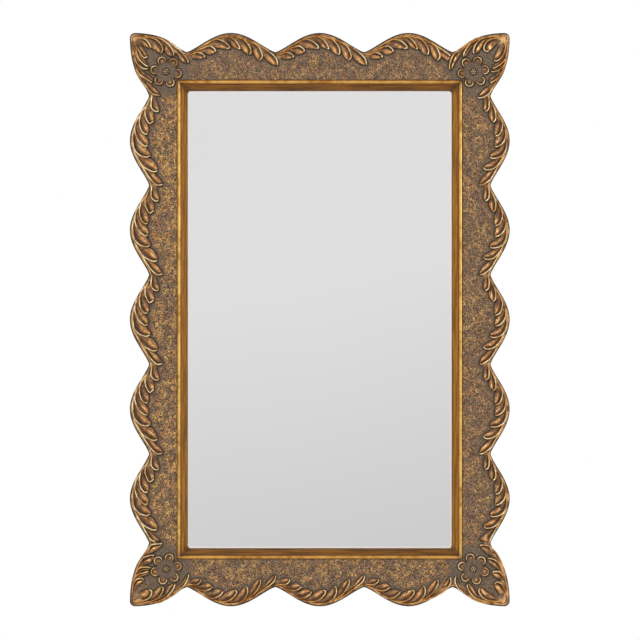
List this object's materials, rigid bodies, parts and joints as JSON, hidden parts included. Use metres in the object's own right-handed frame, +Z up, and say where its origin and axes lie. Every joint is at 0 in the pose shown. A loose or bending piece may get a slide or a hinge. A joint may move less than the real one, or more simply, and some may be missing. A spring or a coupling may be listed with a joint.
{
  "type": "sculpted wall mirror",
  "caption": "Upright rectangular wall mirror in a carved antique-gold frame with a scalloped edge of leaf sprays, corner leaves, rosettes and a gilt liner.",
  "frame": {"origin": "on the wall plane, behind the centre of the frame's outline", "axes": "+Z up, +X to the right as seen from the front, front faces -Y, wall on the +Y side"},
  "size_m": [0.7124, 0.038, 1.0754],
  "materials": {
    "antique_ground": "pebbled bronze-brown ground flecked with gold",
    "antique_leaf": "antique gold leaf, rubbed bright on the ridges and dark in the hollows",
    "gilt_liner": "burnished gold bead over a streaked darker cove",
    "mirror": "plain silvered glass",
    "hardboard": "brown hardboard",
    "zinc_steel": "zinc-plated steel",
    "nickel_steel": "nickel-plated steel",
    "rubber": "black rubber",
    "beech": "plain pressed beech"
  },
  "bodies": {
    "frame": {"top_rail": "antique_ground", "liner_top": "gilt_liner", "leaf_spray_top_1": "antique_leaf", "leaf_spray_top_2": "antique_leaf", "leaf_spray_top_3": "antique_leaf", "bottom_rail": "antique_ground", "liner_bottom": "gilt_liner", "leaf_spray_bottom_1": "antique_leaf", "leaf_spray_bottom_2": "antique_leaf", "leaf_spray_bottom_3": "antique_leaf", "left_rail": "antique_ground", "liner_left": "gilt_liner", "leaf_spray_left_1": "antique_leaf", "leaf_spray_left_2": "antique_leaf", "leaf_spray_left_3": "antique_leaf", "leaf_spray_left_4": "antique_leaf", "leaf_spray_left_5": "antique_leaf", "right_rail": "antique_ground", "liner_right": "gilt_liner", "leaf_spray_right_1": "antique_leaf", "leaf_spray_right_2": "antique_leaf", "leaf_spray_right_3": "antique_leaf", "leaf_spray_right_4": "antique_leaf", "leaf_spray_right_5": "antique_leaf", "corner_leaf_top_left": "antique_leaf", "rosette_top_left": "antique_leaf", "corner_brace_top_left": "zinc_steel", "corner_leaf_top_right": "antique_leaf", "rosette_top_right": "antique_leaf", "corner_brace_top_right": "zinc_steel", "corner_leaf_bottom_left": "antique_leaf", "rosette_bottom_left": "antique_leaf", "corner_brace_bottom_left": "zinc_steel", "corner_leaf_bottom_right": "antique_leaf", "rosette_bottom_right": "antique_leaf", "corner_brace_bottom_right": "zinc_steel", "mirror_glass": "mirror", "backing_board": "hardboard", "setting_blocks": "rubber", "retaining_clips": "zinc_steel", "mitre_biscuits": "beech", "wall_pads": "rubber", "clip_screws": "zinc_steel", "brace_screws": "zinc_steel", "hanger_screws": "zinc_steel", "hanger_strap_left": "nickel_steel", "hanger_strap_right": "nickel_steel"},
    "ring_left": {"hanger_ring_left": "nickel_steel"},
    "ring_right": {"hanger_ring_right": "nickel_steel"}
  },
  "joints": [
    {"name": "ring_left_swing", "type": "hinge", "parent": "frame", "child": "ring_left", "pos_m": [-0.3046, -0.00341, 0.18488], "axis": [-1, 0, 0], "range_deg": [0, 180]},
    {"name": "ring_right_swing", "type": "hinge", "parent": "frame", "child": "ring_right", "pos_m": [0.3046, -0.00341, 0.18488], "axis": [-1, 0, 0], "range_deg": [0, 180]}
  ]
}
